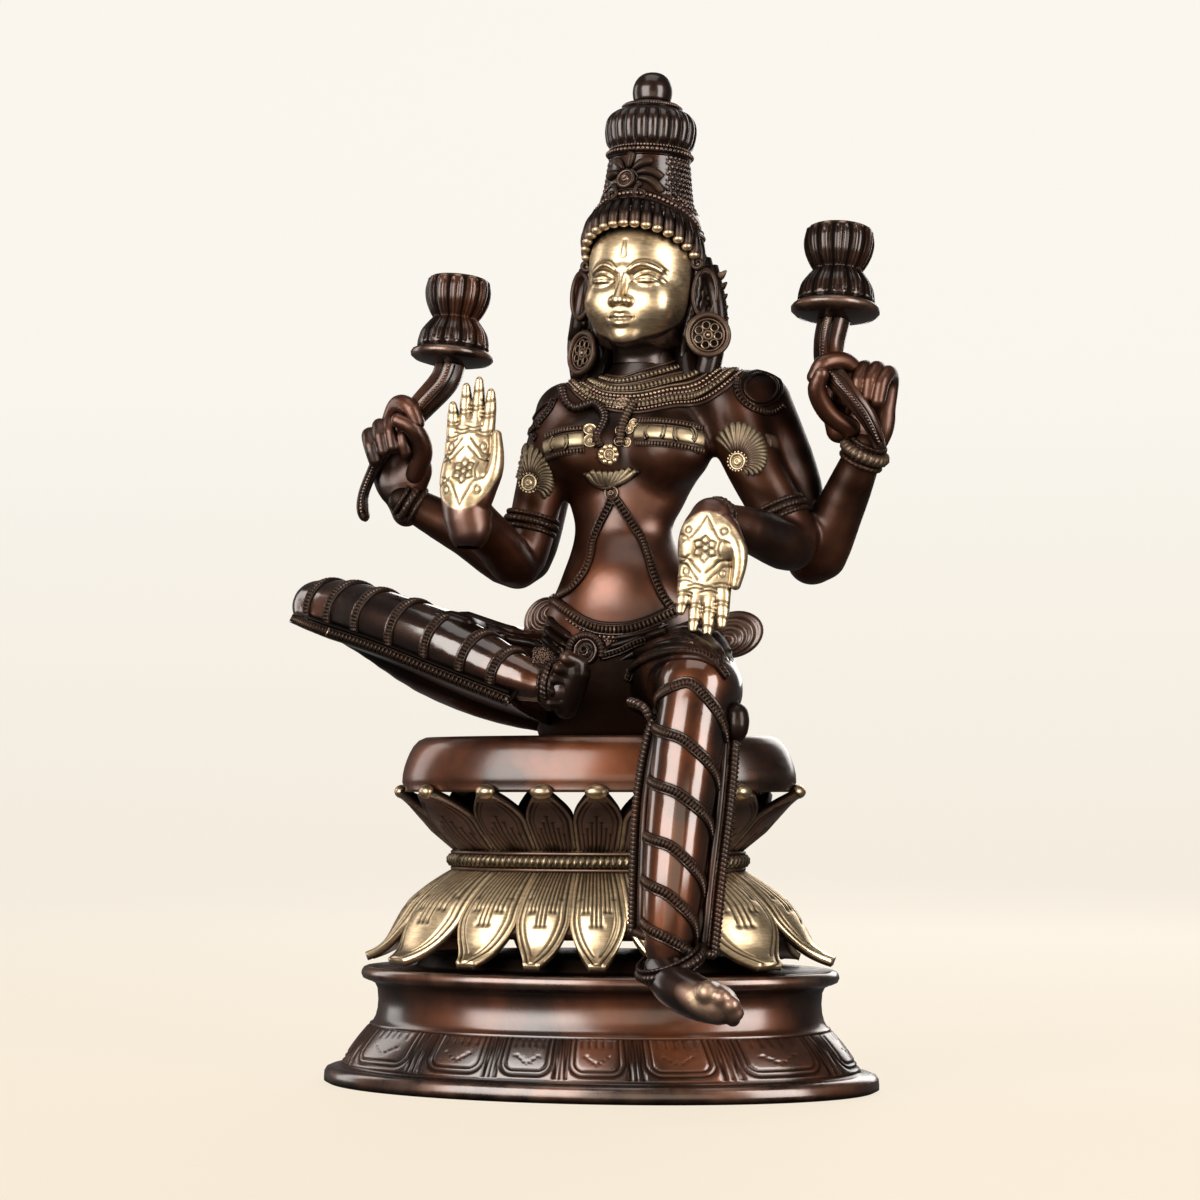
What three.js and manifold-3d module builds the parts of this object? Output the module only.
// A seated four-armed goddess in cast brass, on an oval double-lotus seat and a moulded plinth.
// Millimetres, +Z up. The origin is the centre of the plinth's underside, and the figure faces -Y.
import * as THREE from "three";
import { mergeVertices } from "three/addons/utils/BufferGeometryUtils.js";
import Module from "manifold-3d";

const wasm = await Module();
wasm.setup();

// Driving dimensions of the plinth and the lotus seat. Radii are measured along the oval's long axis.
const DEPTH_RATIO = 0.6; // short axis over long axis
const SEATING_GAP = 0.3; // clearance between one casting and the next
const OVAL_SIDES = 32;

const FLANGE_RADIUS = 128;
const FLANGE_HEIGHT = 8;
const SKIRT_FOOT_RADIUS = 120.5;
const SKIRT_TOP_RADIUS = 106.5;
const SKIRT_HEIGHT = 19;
const SKIRT_BELLY = 1;
const NECK_RADIUS = 103;
const NECK_HEIGHT = 20;
const LEDGE_RADIUS = 110.5;
const LEDGE_HEIGHT = 6;

const PETAL_COUNT = 14;
const PETAL_PHASE = THREE.MathUtils.degToRad(15); // turns one petal to the right of the front
const PETAL_THICKNESS = 3.2;
const LOWER_DOME_RADIUS = 95.5;
const TIP_TO_LEDGE_EDGE = 2.5;
const LOWER_HEIGHT = 44.5;
const WAIST_RADIUS = 67;
const ROPE_RADIUS = 68.5;
const ROPE_HEIGHT = 7.5;
const WAIST_WALL = 9;
const TIP_PAST_SEAT = 0.5;
const UPPER_HEIGHT = 27;
const SEAT_RADIUS = 90.5;
const SEAT_THICKNESS = 25;

// Radii and heights that follow from them.
const LOWER_TIP_RADIUS = LEDGE_RADIUS - TIP_TO_LEDGE_EDGE;
const UPPER_TIP_RADIUS = SEAT_RADIUS + TIP_PAST_SEAT;
const LEDGE_TOP = FLANGE_HEIGHT + SKIRT_HEIGHT + NECK_HEIGHT + LEDGE_HEIGHT;
const ROPE_BOTTOM = LEDGE_TOP + SEATING_GAP + LOWER_HEIGHT;
const ROPE_TOP = ROPE_BOTTOM + ROPE_HEIGHT;
const SEAT_BOTTOM = ROPE_TOP + UPPER_HEIGHT;
const SEAT_TOP = SEAT_BOTTOM + SEAT_THICKNESS;

// The figure's height above the seat, to which the drawn form is brought.
const FIGURE_HEIGHT = 300;
const LIMB_SIDES = 7;
const STUD = { sides: 7, levels: 4 }; // the facets of a small rounded boss

const v3 = (x, y, z) => new THREE.Vector3(x, y, z);
const mix = THREE.MathUtils.lerp;

// A closed geometry as a solid that can be joined and cut.
function solid(geometry) {
  const bare = new THREE.BufferGeometry();
  bare.setAttribute("position", geometry.getAttribute("position").clone());
  if (geometry.index) bare.setIndex(geometry.index.clone());
  const merged = mergeVertices(bare, 1e-4);
  const vertProperties = merged.attributes.position.array;
  const triVerts = new Uint32Array(merged.index.array);
  return new wasm.Manifold(new wasm.Mesh({ numProp: 3, vertProperties, triVerts }));
}

const joined = (geometries) => geometries.map(solid).reduce((whole, piece) => whole.add(piece));

// A geometry moved, turned, scaled or mirrored, with its faces still pointing out.
function moved(geometry, matrix) {
  geometry.applyMatrix4(matrix);
  if (matrix.determinant() < 0) geometry.index.array.reverse();
  return geometry;
}

function meshOf(name, manifold, material) {
  const { vertProperties, triVerts } = manifold.getMesh();
  const geometry = new THREE.BufferGeometry();
  geometry.setAttribute("position", new THREE.BufferAttribute(vertProperties, 3));
  geometry.setIndex(new THREE.BufferAttribute(triVerts, 1));
  const mesh = new THREE.Mesh(geometry, material);
  mesh.name = name;
  return mesh;
}

// A closed skin over rings of points, each ring with the same count. It has a fan over each end, or, for a
// hollow shell, its last ring meets its first.
function loft(rings, shell = false) {
  const count = rings[0].length;
  const centre = (ring) => ring.reduce((sum, p) => sum.add(p), v3(0, 0, 0)).divideScalar(count);
  const points = [...rings.flat(), centre(rings[0]), centre(rings.at(-1))];
  const start = rings.length * count;
  const faces = [];
  for (let j = 0; j < count; j++) {
    const k = (j + 1) % count;
    for (let i = 0; i < rings.length - (shell ? 0 : 1); i++) {
      const [a, b] = [i * count, ((i + 1) % rings.length) * count];
      faces.push(a + j, a + k, b + k, a + j, b + k, b + j);
    }
    const last = start - count;
    if (!shell) faces.push(k, j, start, last + j, last + k, start + 1);
  }
  if (shell) points.length = start;
  if (volumeOf(points, faces) < 0) faces.reverse();
  const geometry = new THREE.BufferGeometry().setFromPoints(points);
  geometry.setIndex(faces);
  return geometry;
}

function volumeOf(points, faces) {
  let sum = 0;
  for (let n = 0; n < faces.length; n += 3) {
    const [a, b, c] = [points[faces[n]], points[faces[n + 1]], points[faces[n + 2]]];
    sum += a.dot(v3(0, 0, 0).crossVectors(b, c));
  }
  return sum;
}

// A limb: a round or flattened section swept along a smooth curve through its joints. Raised bands run
// round it at the shares of its length given, square to it or slanted, and its ends are domed where they
// show.
function limb(joints, radii, options = {}) {
  const { sides = LIMB_SIDES, steps = 1, flat = 1, up = v3(0, 0, 1), domes = [0.75, 0.75] } = options;
  const { bands = [], bandHeight = 1.8, bandWidth = 4.5, slant = 0 } = options;
  const curve = new THREE.CatmullRomCurve3(joints, false, "centripetal");
  const spans = joints.length - 1;
  const length = curve.getLength();
  const radiusAt = (t) => {
    const span = Math.min(Math.floor(t * spans), spans - 1);
    return mix(radii[span], radii[span + 1], t * spans - span);
  };
  const ringAt = (centre, along, radius, lean = slant) => {
    const side = v3(0, 0, 0).crossVectors(up, along).normalize();
    const over = v3(0, 0, 0).crossVectors(along, side).normalize();
    return Array.from({ length: sides }, (_, n) => {
      const angle = (2 * Math.PI * (n + 0.5)) / sides;
      return centre
        .clone()
        .addScaledVector(side, radius * Math.cos(angle))
        .addScaledVector(over, radius * flat * Math.sin(angle))
        .addScaledVector(along, lean * radius * Math.cos(angle));
    });
  };
  const half = bandWidth / 2 / length;
  const clearOfBands = (t) => bands.every((at) => Math.abs(t - at) > half * 1.6);
  const plain = Array.from({ length: spans * steps + 1 }, (_, n) => n / (spans * steps)).filter(clearOfBands);
  const raised = bands.flatMap((at) => [
    [at - half, 0],
    [at, bandHeight],
    [at + half, 0],
  ]);
  const stations = [...plain.map((t) => [t, 0]), ...raised].sort((a, b) => a[0] - b[0]);
  const rings = stations.map(([t, lift]) => ringAt(curve.getPoint(t), curve.getTangent(t), radiusAt(t) + lift));
  const dome = (t, radius, sign) => {
    const along = curve.getTangent(t);
    return ringAt(curve.getPoint(t).addScaledVector(along, sign * radius), along, Math.abs(radius) * 0.8, 0);
  };
  if (domes[0]) rings.unshift(dome(0, radii[0] * domes[0], -1));
  if (domes[1]) rings.push(dome(1, radii.at(-1) * domes[1], 1));
  return loft(rings);
}

// A thin strand, such as a cord or a raised hem, half sunk in what it lies on.
function strand(joints, radius, steps = 2) {
  const curve = new THREE.CatmullRomCurve3(joints, false, "centripetal");
  const count = (joints.length - 1) * steps;
  const along = Array.from({ length: count + 1 }, (_, n) => curve.getPoint(n / count));
  return limb(along, along.map(() => radius), { sides: 4, domes: [0, 0] });
}

function ellipsoid(centre, radii, { sides = 10, levels = 6 } = {}) {
  const ball = new THREE.SphereGeometry(1, sides, levels);
  return ball.scale(...radii).translate(...centre.toArray());
}

// Rings for a turned form about +Z: each row is a radius, a height and, where it is fluted, the flutes'
// depth.
const circle =
  (sides, flutes = 0, from = 0) =>
  ([radius, z, depth = 0]) =>
    Array.from({ length: sides }, (_, n) => {
      const angle = from + (2 * Math.PI * n) / sides;
      const r = radius * (1 + depth * Math.cos(flutes * angle));
      return v3(r * Math.cos(angle), r * Math.sin(angle), z);
    });

const turned = (profile, sides, flutes) => loft(profile.map(circle(sides, flutes)));

// The oval plan: a point at long-axis radius r is drawn in along its own ray towards the centre.
function oval(geometry) {
  const at = geometry.getAttribute("position");
  for (let n = 0; n < at.count; n++) {
    const [x, y] = [at.getX(n), at.getY(n)];
    const r = Math.hypot(x, y);
    if (r < 1e-9) continue;
    const share = 1 / Math.hypot(x / r, y / r / DEPTH_RATIO);
    at.setXY(n, x * share, y * share);
  }
  return geometry;
}

// The plinth: foot flange, sloping skirt, hollowed neck and a ledge that carries the lotus.
function plinth() {
  const skirtTop = FLANGE_HEIGHT + SKIRT_HEIGHT;
  const ledgeFoot = skirtTop + NECK_HEIGHT;
  const skirt = [0.1, 0.5, 1].map((t) => [
    mix(SKIRT_FOOT_RADIUS, SKIRT_TOP_RADIUS, t) + SKIRT_BELLY * Math.sin(Math.PI * t),
    FLANGE_HEIGHT + SKIRT_HEIGHT * t,
  ]);
  const profile = [
    [FLANGE_RADIUS, 0],
    [FLANGE_RADIUS, FLANGE_HEIGHT * 0.8],
    [FLANGE_RADIUS - 1.5, FLANGE_HEIGHT],
    ...skirt,
    [NECK_RADIUS, skirtTop + NECK_HEIGHT * 0.35],
    [NECK_RADIUS, ledgeFoot - 0.5],
    [LEDGE_RADIUS - 1.5, ledgeFoot],
    [LEDGE_RADIUS, ledgeFoot + LEDGE_HEIGHT * 0.4],
    [LEDGE_RADIUS - 1.5, LEDGE_TOP],
  ];
  return solid(oval(turned(profile, OVAL_SIDES)));
}

// One ring of a lotus shell. The path gives the outer face's radius and height from a petal's root (0) to
// its tip (1), and the outline how far the free edge reaches at the middle of a petal and on towards its
// neighbour.
function petalRing({ path, outline, crown }, share, depth) {
  const across = 2 * (outline.length - 1);
  return Array.from({ length: PETAL_COUNT * across }, (_, n) => {
    const beside = Math.abs(((n % across) / across) * 2 - 1);
    const reach = share * outline[Math.round(beside * (across / 2))];
    const angle = (2 * Math.PI * (n / across - 0.5)) / PETAL_COUNT - Math.PI / 2 + PETAL_PHASE;
    const [r, z] = path(reach);
    const [beforeR, beforeZ] = path(reach - 0.001);
    const slope = new THREE.Vector2(r - beforeR, z - beforeZ).normalize();
    const bulge = crown * (1 - beside * beside) * Math.min(1, share * 2.5);
    const radius = r + bulge - depth * Math.abs(slope.y);
    return v3(radius * Math.cos(angle), radius * Math.sin(angle), z + depth * slope.x * Math.sign(slope.y));
  });
}

// The lotus seat, one hollow openwork casting: hanging petals, a roped waist, rising petals and the
// cushion slab.
function lotusSeat() {
  const flare = LOWER_TIP_RADIUS - LOWER_DOME_RADIUS;
  const flareSharpness = 9;
  const tipLean = (flareSharpness * flare) / Math.hypot(flareSharpness * flare, LOWER_HEIGHT);
  const lower = {
    path: (t) => [
      mix(WAIST_RADIUS - 1, LOWER_DOME_RADIUS, 1 - Math.pow(1 - t, 2.2)) + flare * Math.pow(t, flareSharpness),
      mix(ROPE_BOTTOM + 0.5, LEDGE_TOP + SEATING_GAP + PETAL_THICKNESS * tipLean, t),
    ],
    outline: [1, 0.86, 0.52],
    crown: 3,
  };
  const upper = {
    path: (t) => [mix(WAIST_RADIUS - 1, UPPER_TIP_RADIUS, t), ROPE_TOP - 0.5 + (UPPER_HEIGHT + 0.5) * t],
    outline: [1, 0.9, 0.7],
    crown: 2.4,
  };
  const around = PETAL_COUNT * 2 * (lower.outline.length - 1);
  const waistRing = circle(around, 0, PETAL_PHASE - Math.PI / 2 - Math.PI / PETAL_COUNT);
  const shell = loft(
    [
      ...[1, 0.7, 0.35, 0.04].map((share) => petalRing(lower, share, 0)),
      ...[0.25, 0.75].map((share) => waistRing([ROPE_RADIUS, ROPE_BOTTOM + ROPE_HEIGHT * share])),
      ...[0.04, 1].map((share) => petalRing(upper, share, 0)),
      petalRing(upper, 1, PETAL_THICKNESS),
      ...[0.9, 0.1].map((share) => waistRing([WAIST_RADIUS - WAIST_WALL, ROPE_BOTTOM + ROPE_HEIGHT * share])),
      ...[0.4, 1].map((share) => petalRing(lower, share, PETAL_THICKNESS)),
    ],
    true,
  );
  const cushion = loft(
    [
      [SEAT_RADIUS - 1, SEAT_BOTTOM],
      [SEAT_RADIUS, SEAT_BOTTOM + SEAT_THICKNESS * 0.2],
      [SEAT_RADIUS - 1.5, SEAT_BOTTOM + SEAT_THICKNESS * 0.6],
      [SEAT_RADIUS - 5, SEAT_TOP - SEAT_THICKNESS * 0.1],
      [SEAT_RADIUS - 10, SEAT_TOP],
    ].map(circle(OVAL_SIDES)),
  );
  return joined([oval(shell), oval(cushion)]);
}

// The figure, in its own units from the middle of the seat's top. The trunk's rows are height, centre x,
// centre y, half width and half depth.
const TRUNK = [
  [0, 17, 2, 44, 28],
  [14, 17, 2, 47, 31],
  [40, 17, 2, 44, 29.5],
  [58, 16.4, -1, 38.5, 26.5],
  [72, 15.4, -1.5, 31.5, 23.5],
  [92, 12.6, 1, 22.6, 17.5],
  [106, 14, 2, 27, 17.5],
  [130, 16.2, 3.5, 37, 20],
  [143, 18, 4, 38, 19.5],
  [156, 21, 5.5, 27, 16],
  [164, 22.2, 5, 15.5, 14.5],
  [184, 23, 3, 14.5, 14.5],
];
const TRUNK_SIDES = 12;
const BREASTS = [v3(-1, -12, 135), v3(38, -12, 135)];
const HEAD_SIDES = 10;
const HEAD = v3(22.5, -4, 205.6);
const HEAD_TURN = THREE.MathUtils.degToRad(-8); // towards the figure's right
const HEAD_LEAN = THREE.MathUtils.degToRad(3); // towards the figure's left

function trunkAt(z) {
  const above = Math.max(1, TRUNK.findIndex((row) => row[0] >= z));
  const [low, high] = [TRUNK[above - 1], TRUNK[above]];
  const t = (z - low[0]) / (high[0] - low[0]);
  return low.map((value, n) => mix(value, high[n], t));
}

const onTrunk = (z, angle, out = 0) => {
  const [, x, y, wide, deep] = trunkAt(z);
  return v3(x + (wide + out) * Math.cos(angle), y + (deep + out) * Math.sin(angle), z);
};

function trunk() {
  const rings = TRUNK.map(([z]) =>
    Array.from({ length: TRUNK_SIDES }, (_, n) => onTrunk(z, (2 * Math.PI * n) / TRUNK_SIDES)),
  );
  const yoke = limb(
    [v3(-12, 2, 148), v3(4, 5, 153), v3(22, 6, 156), v3(44, 5, 155), v3(66, 3, 150)],
    [14, 12.5, 12.5, 13.5, 15],
  );
  const breasts = BREASTS.map((centre) => ellipsoid(centre, [17, 15.5, 16], { sides: 8, levels: 6 }));
  return [loft(rings), yoke, ...breasts];
}

// The longest string of beads, the breast band with its pendant, and the girdle with its clasp.
function jewellery() {
  const garland = (z, sag, from, to, out) =>
    Array.from({ length: 6 }, (_, n) => {
      const angle = THREE.MathUtils.degToRad(mix(from, to, n / 5));
      return onTrunk(z - sag * Math.sin((Math.PI * n) / 5), angle, out);
    });
  const band = [
    [-19, -14, 134],
    [-10, -26, 137],
    [0, -28.5, 138],
    [18, -18.5, 133],
    [38, -28.5, 139],
    [50, -25, 138],
    [56, -12, 135],
  ];
  return [
    strand(garland(161, 15, 175, 365, 1.5), 2, 1),
    strand(band.map((at) => v3(...at)), 3.4, 1),
    strand(garland(58, 16, 160, 380, 0.6), 3, 1),
    ellipsoid(v3(18, -20, 125), [6.5, 4, 8], STUD),
    ellipsoid(v3(4, -30, 40), [6, 5, 6.5], STUD),
  ];
}

// The head is built upright about its own centre, then turned. Its rows are height, half width, centre y,
// half depth.
function head() {
  const skull = [
    [-31, 6, -9, 7],
    [-28, 13, -7, 13],
    [-22, 19.5, -4, 18.5],
    [-12, 24, -2, 23.5],
    [2, 26, 0, 25.5],
    [20, 24, 1.5, 24.5],
  ].map(([z, wide, y, deep]) =>
    Array.from({ length: HEAD_SIDES }, (_, n) => {
      const angle = (2 * Math.PI * n) / HEAD_SIDES;
      return v3(wide * Math.cos(angle), y + deep * Math.sin(angle), z);
    }),
  );
  const bridge = [v3(0, -24.5, 5), v3(0, -27, -2), v3(0, -30, -8)];
  const nose = limb(bridge, [1.6, 2.2, 3.2], { sides: 5, domes: [0, 0.5] });
  const mouth = ellipsoid(v3(0, -24.5, -15.5), [6.5, 3.2, 2.6], STUD);
  const sides = [-1, 1].flatMap((side) => [
    new THREE.CylinderGeometry(10.5, 10.5, 5, 10).rotateZ(side * 0.5).translate(side * 29, -1, -26),
    limb(
      [v3(side * 22, 8, 0), v3(side * 27, 7, -14), v3(side * 30, 6, -28), v3(side * 30, 5, -40)],
      [8, 8.5, 6.5, 4],
      { sides: 6, up: v3(0, 1, 0) },
    ),
  ]);
  const pose = new THREE.Matrix4()
    .makeTranslation(HEAD)
    .multiply(new THREE.Matrix4().makeRotationZ(HEAD_TURN))
    .multiply(new THREE.Matrix4().makeRotationY(HEAD_LEAN));
  return [loft(skull), nose, mouth, ...sides, ...crown()].map((geometry) => moved(geometry, pose));
}

// The tall crown: a brow band, a tapering cap with its crest, and a ribbed knob that ends in a bead.
function crown() {
  const tiers = [
    [25.5, 12],
    [27, 18],
    [26.5, 23.5],
    [22.5, 32],
    [20, 41],
    [18, 57],
    [20.3, 64, 0.05],
    [20.3, 70, 0.06],
    [12, 80],
    [9.2, 82],
    [9, 89],
    [3, 94.5],
  ];
  return [
    turned(tiers, 12, 6).translate(0, 1.5, 0),
    ellipsoid(v3(-2, -18.5, 41), [7, 4, 8], STUD),
  ];
}

// A hand in its own frame: fingers towards +Y, palm towards +Z, thumb towards +X, wrist at the origin. A
// finger's row is its place across the palm, its length and how far up the palm it starts.
const FINGERS = [
  [-8.4, 19, 26],
  [-2.9, 24, 28.5],
  [2.7, 26, 29],
  [8.2, 22.5, 27.5],
];
const PALM = [
  [-3, 6, 5],
  [4, 8.5, 5.6],
  [14, 11.5, 5.4],
  [30, 11.5, 3.4],
];
const PALM_SIDES = 6;

function openFinger([x, length, root]) {
  const joints = [root - 4, root + length - 4].map((y) => v3(x, y, 0));
  return limb(joints, [3.9, 2.9], { sides: 4, up: v3(1, 0, 0), domes: [0, 0.6] });
}

function hand({ wrist, along, palm, thumbSide = 1, curl = 0, size = 1 }) {
  const palmRings = PALM.map(([y, wide, thick]) =>
    Array.from({ length: PALM_SIDES }, (_, n) => {
      const angle = (2 * Math.PI * (n + 0.5)) / PALM_SIDES;
      return v3((wide * Math.cos(angle)) / Math.cos(Math.PI / PALM_SIDES), y, thick * Math.sin(angle));
    }),
  );
  const fistFingers = [v3(0, 25, 0), v3(0, 38, 2), v3(0, 37, 15), v3(0, 25, 19)];
  const fingers = curl
    ? [limb(fistFingers, [10.5, 11, 10, 8], { sides: 6, up: v3(1, 0, 0), flat: 0.33, domes: [0, 0.2] })]
    : FINGERS.map(openFinger);
  const thumb = limb(
    [v3(8, 5, 1), v3(13.5, 14, 3 + 4 * curl), v3(mix(13, 6, curl), 27, 2.5 + 9 * curl)],
    [4.2, 3.5, 2.2],
    { sides: 5, up: v3(1, 0, 0), domes: [0, 0.75] },
  );
  const across = v3(0, 0, 0).crossVectors(along, palm).normalize();
  const facing = v3(0, 0, 0).crossVectors(across, along).normalize();
  across.multiplyScalar(size * thumbSide);
  const axes = [across, along.clone().setLength(size), facing.multiplyScalar(size)];
  const placed = new THREE.Matrix4().makeBasis(...axes).setPosition(wrist);
  return [loft(palmRings), ...fingers, thumb].map((geometry) => moved(geometry, placed));
}

// A lotus bud: a hanging tier over a flange and a fluted cup above it, standing at the end of a curved
// stem.
function bud(stem, stemRadii, lean, size) {
  const tiers = [
    [6, -3],
    [18, -0.5],
    [19.2, 2],
    [15.5, 6.5, 0.05],
    [13.8, 12.5, 0.07],
    [9.8, 18.5, 0.05],
    [13.6, 28, 0.07],
    [13.4, 37, 0.03],
    [3, 33.5],
  ];
  const flower = turned(tiers, 12, 6);
  flower.scale(size, size, size);
  flower.applyQuaternion(new THREE.Quaternion().setFromUnitVectors(v3(0, 0, 1), lean.clone().normalize()));
  flower.translate(...stem.at(-1).toArray());
  return [flower, limb(stem, stemRadii, { sides: 6, up: v3(0, 1, 0), domes: [0.75, 0] })];
}

// The four arms, front and rear on each side. The first three joints are shoulder, mid and elbow, the last
// wrist.
const ARMS = {
  frontRight: {
    joints: [v3(-14, -2, 147), v3(-23, -6, 122), v3(-33, -10, 80), v3(-38, -33, 87), v3(-43, -56, 98)],
    radii: [14, 11.5, 10.5, 9.5, 7.2],
  },
  rearRight: {
    joints: [v3(-16, 12, 148), v3(-26, 13, 120), v3(-38, 10, 80), v3(-64, 1, 95), v3(-90, -9, 110)],
    radii: [13, 11.5, 10.5, 10.3, 7.8],
  },
  frontLeft: {
    joints: [v3(64, -4, 148), v3(74, -8, 122), v3(92, -8, 86), v3(80, -32, 90), v3(67.5, -51, 96)],
    radii: [15, 12.5, 11.5, 10.3, 7.8],
  },
  rearLeft: {
    joints: [v3(74, 8, 150), v3(88, 12, 118), v3(98, 13, 79), v3(112, 5, 103), v3(125, -4, 128)],
    radii: [15, 12.5, 11.5, 10.8, 8.2],
  },
};

// Each arm runs from shoulder to wrist, with an armlet above the elbow and a bangle at the wrist.
function arms() {
  const [armlet, bangle] = [0.22, 0.95];
  return Object.values(ARMS).map(({ joints, radii }) =>
    limb(joints, radii, { bands: [armlet, bangle], up: v3(0, -0.6, 0.8) }),
  );
}

function hands() {
  const wristOf = (arm) => ARMS[arm].joints.at(-1).clone();
  return [
    ...hand({
      wrist: wristOf("frontRight").add(v3(0, -4, 1)),
      along: v3(0.03, 0.1, 1),
      palm: v3(-0.05, -1, 0.1),
      size: 1.12,
    }),
    ...hand({
      wrist: wristOf("frontLeft").add(v3(0, -4, -1)),
      along: v3(-0.08, -0.05, -1),
      palm: v3(0, -1, -0.1),
      thumbSide: -1,
      size: 0.92,
    }),
    ...hand({ wrist: wristOf("rearRight"), along: v3(-0.2, -0.05, 1), palm: v3(0.15, -1, 0), curl: 1, size: 0.9 }),
    ...hand({
      wrist: wristOf("rearLeft"),
      along: v3(0.12, -0.08, 1),
      palm: v3(-0.1, -1, 0),
      thumbSide: -1,
      curl: 1,
      size: 0.9,
    }),
  ];
}

function buds() {
  const right = [
    [-105, -15, 103],
    [-99, -17, 122],
    [-91, -20, 137],
    [-77, -20, 151],
    [-67, -18, 162],
    [-64.5, -16, 172],
  ];
  const left = [
    [133, -15, 128],
    [127, -19, 142],
    [117, -19, 151],
    [108, -15, 160],
    [108, -12, 172],
    [112.5, -11, 186],
  ];
  return [
    ...bud(right.map((at) => v3(...at)), [2.4, 3, 4.2, 5.4, 6, 6.4], v3(0.08, 0.05, 1), 1),
    ...bud(left.map((at) => v3(...at)), [2.4, 3.4, 4.8, 6, 6.2, 6.4], v3(0.04, 0.1, 1), 1.04),
  ];
}

function foot(heel, toe, width, height, up) {
  const at = (t) => heel.clone().lerp(toe, t).addScaledVector(up, -height * 0.2 * t);
  return limb([at(0), at(0.35), at(0.75), at(1)], [width * 0.7, width * 0.85, width, width * 0.8], {
    up,
    flat: height / width,
    domes: [0.4, 0.5],
  });
}

// A shin bound with bands, with the cloth and its hems that hang from it. The rows are the centre of the
// shin, its radius, and the outline behind it; the ring function turns one row, with a band's lift, into a
// ring of points.
function boundShin(rows, bands, bandHeight, ringOf) {
  const rowAt = (t) => {
    const at = Math.min(Math.floor(t * (rows.length - 1)), rows.length - 2);
    const share = t * (rows.length - 1) - at;
    return rows[at].map((value, n) => mix(value, rows[at + 1][n], share));
  };
  const half = 0.02;
  const clearOfBands = (t) => bands.every((at) => Math.abs(t - at) > 2 * half);
  const plain = rows.map((_, n) => n / (rows.length - 1)).filter(clearOfBands);
  const raised = bands.flatMap((at) => [at - half, at, at + half].map((t) => [t, t === at ? bandHeight : 0]));
  const stations = [...plain.map((t) => [t, 0]), ...raised].sort((a, b) => a[0] - b[0]);
  return loft(stations.map(([t, lift]) => ringOf(rowAt(t), lift)));
}

// The figure's right leg, folded on the seat with its knee lifted: thigh behind, bound shin in front, and
// the cloth under both. A row is the shin's centre, its radius, the hem below it, and the cloth's edge
// under the thigh.
function foldedLeg() {
  const thigh = [v3(12, 2, 24), v3(-34, 3, 25), v3(-73, 2, 36), v3(-108, -8, 52)];
  const rows = [
    [-126, -24, 60, 11.5, -136, -27, 53, -131, -14, 54],
    [-110, -32, 57, 14, -116, -46, 47, -110, -4, 40],
    [-86, -45, 51, 13.5, -84, -60, 37, -84, 6, 28],
    [-50, -58, 39, 13.5, -50, -71, 24, -50, 14, 12],
    [-20, -67, 26, 11.5, -18, -79, 13, -18, 12, 2],
  ];
  const front = v3(-0.3, -0.95, 0);
  const ringOf = ([x, y, z, radius, hemX, hemY, hemZ, backX, backY, backZ], lift) => [
    ...[110, 65, 20, -25, -70].map((degrees) => {
      const angle = THREE.MathUtils.degToRad(degrees);
      return v3(x, y, z)
        .addScaledVector(front, (radius + lift) * Math.cos(angle))
        .add(v3(0, 0, (radius + lift) * Math.sin(angle)));
    }),
    v3(hemX, hemY, hemZ + 2),
    v3(hemX, hemY - 1, hemZ - 2.5),
    v3(backX, backY, backZ),
    v3(backX, backY, backZ + 12),
  ];
  return [
    limb(thigh, [24, 23, 22, 17]),
    boundShin(rows, [0.08, 0.26, 0.44, 0.62, 0.8], 1.3, ringOf),
    limb([v3(-24, -66, 26), v3(-4, -69, 21)], [9.5, 7.2], { bands: [0.72], domes: [0, 0] }),
    foot(v3(-4, -69, 21), v3(24, -66, 36), 8.5, 6.5, v3(-0.3, -0.5, 0.8).normalize()),
  ];
}

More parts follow.
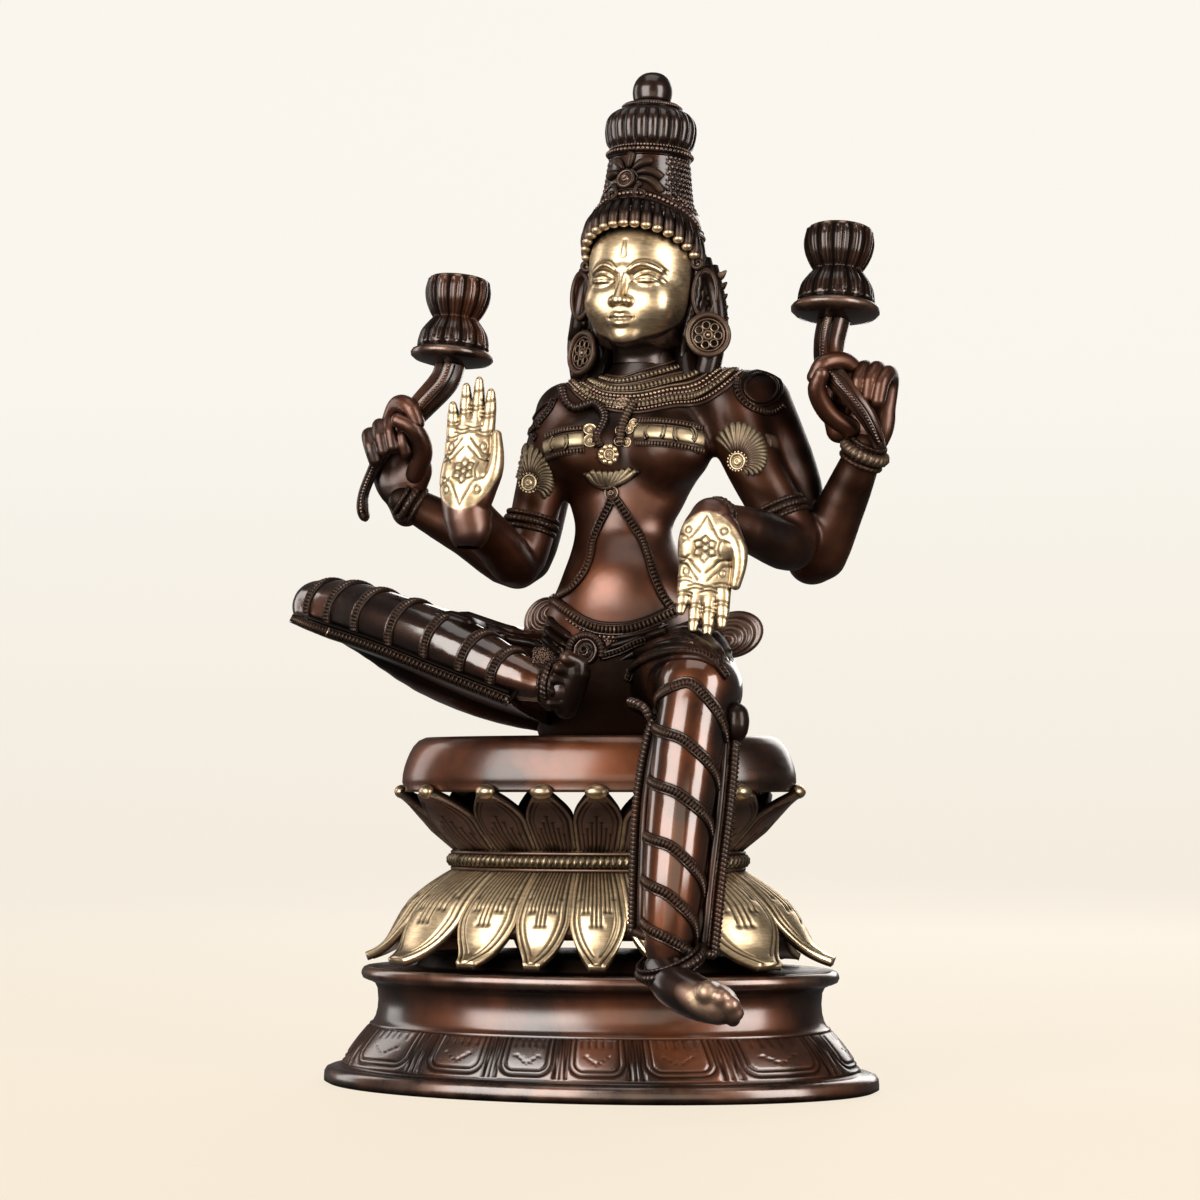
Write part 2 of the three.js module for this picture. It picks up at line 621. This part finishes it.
// The figure's left leg hangs in front of the seat, its cloth a panel behind the shin with a roped hem on
// each side. A row is the shin's centre, its radius and the panel's half width.
function hangingLeg() {
  const thigh = [v3(38, 0, 25), v3(52, -40, 25), v3(66, -78, 18)];
  const rows = [
    [66.5, -84, 18, 15.5, 15],
    [64.5, -91, -3, 14.6, 18.8],
    [62, -96, -30, 13.4, 19.8],
    [59.5, -98, -58, 12.6, 18.5],
    [57.5, -99, -88, 11.5, 16.8],
  ];
  const slant = -5; // how far a band drops from the panel's left to its right
  const ringOf = ([x, y, z, radius, half], lift) => [
    v3(x - half - 2.6, y + 6, z),
    v3(x - half, y - 1, z),
    ...[180, 216, 252, 288, 324, 360].map((degrees) => {
      const angle = THREE.MathUtils.degToRad(degrees);
      const reach = radius + lift;
      return v3(x + reach * Math.cos(angle), y + 1 + reach * Math.sin(angle), z + slant * Math.cos(angle));
    }),
    v3(x + half, y - 1, z - 1.5),
    v3(x + half + 2.6, y + 6, z - 1.5),
  ];
  return [
    limb(thigh, [25, 21, 17.5]),
    boundShin(rows, [0.14, 0.3, 0.46, 0.62, 0.78, 0.94], 1.4, ringOf),
    limb([v3(58, -99, -80), v3(59, -101, -94)], [10, 9], { up: v3(0, 1, 0), bands: [0.8] }),
    foot(v3(60, -99, -92), v3(90, -131, -110), 10, 8, v3(0.25, -0.45, 0.85).normalize()),
    ellipsoid(v3(83.5, -86, 3), [4, 4, 7.5], STUD),
  ];
}

// The knotted ends of the sash, one at each hip, and the cloth that sags across the lap.
function sashes() {
  return [
    ellipsoid(v3(-31, 6, 59), [10, 5, 9], STUD),
    ellipsoid(v3(64, 4, 49), [13, 5, 11], STUD),
    limb([v3(-24, -8, 46), v3(0, -28, 38), v3(24, -34, 40), v3(48, -24, 46), v3(60, -8, 48)], [5, 6, 6, 6.5, 5], {
      sides: 6,
    }),
  ];
}

// The whole casting, brought to its height, and cut so that it rests on the seat's flat top and hangs
// clear of the seat's side and of the ledge.
function figure() {
  const makers = [trunk, jewellery, head, arms, hands, buds, foldedLeg, hangingLeg, sashes];
  const drawn = makers.flatMap((make) => make());
  drawn.forEach((geometry) => geometry.computeBoundingBox());
  const scale = FIGURE_HEIGHT / Math.max(...drawn.map((geometry) => geometry.boundingBox.max.z));
  const onSeat = new THREE.Matrix4().makeTranslation(0, 0, SEAT_TOP).scale(v3(scale, scale, scale));
  const keptClear = [
    [LEDGE_RADIUS + SEATING_GAP, LEDGE_TOP - LEDGE_HEIGHT - NECK_HEIGHT],
    [LEDGE_RADIUS + SEATING_GAP, LEDGE_TOP + SEATING_GAP],
    [SEAT_RADIUS + 1, SEAT_BOTTOM - SEATING_GAP],
    [SEAT_RADIUS + 1, SEAT_TOP + SEATING_GAP],
  ];
  const whole = joined(drawn.map((geometry) => moved(geometry, onSeat)));
  return whole.subtract(solid(oval(turned(keptClear, OVAL_SIDES))));
}

const bronze = new THREE.MeshStandardMaterial({ color: 0x3a1c12, roughness: 0.34, metalness: 0.9 });
const brass = new THREE.MeshStandardMaterial({ color: 0xa98a4e, roughness: 0.38, metalness: 0.9 });

const group = new THREE.Group();
group.add(meshOf("plinth", plinth(), bronze));
group.add(meshOf("lotus_seat", lotusSeat(), brass));
group.add(meshOf("figure", figure(), bronze));
export default group;
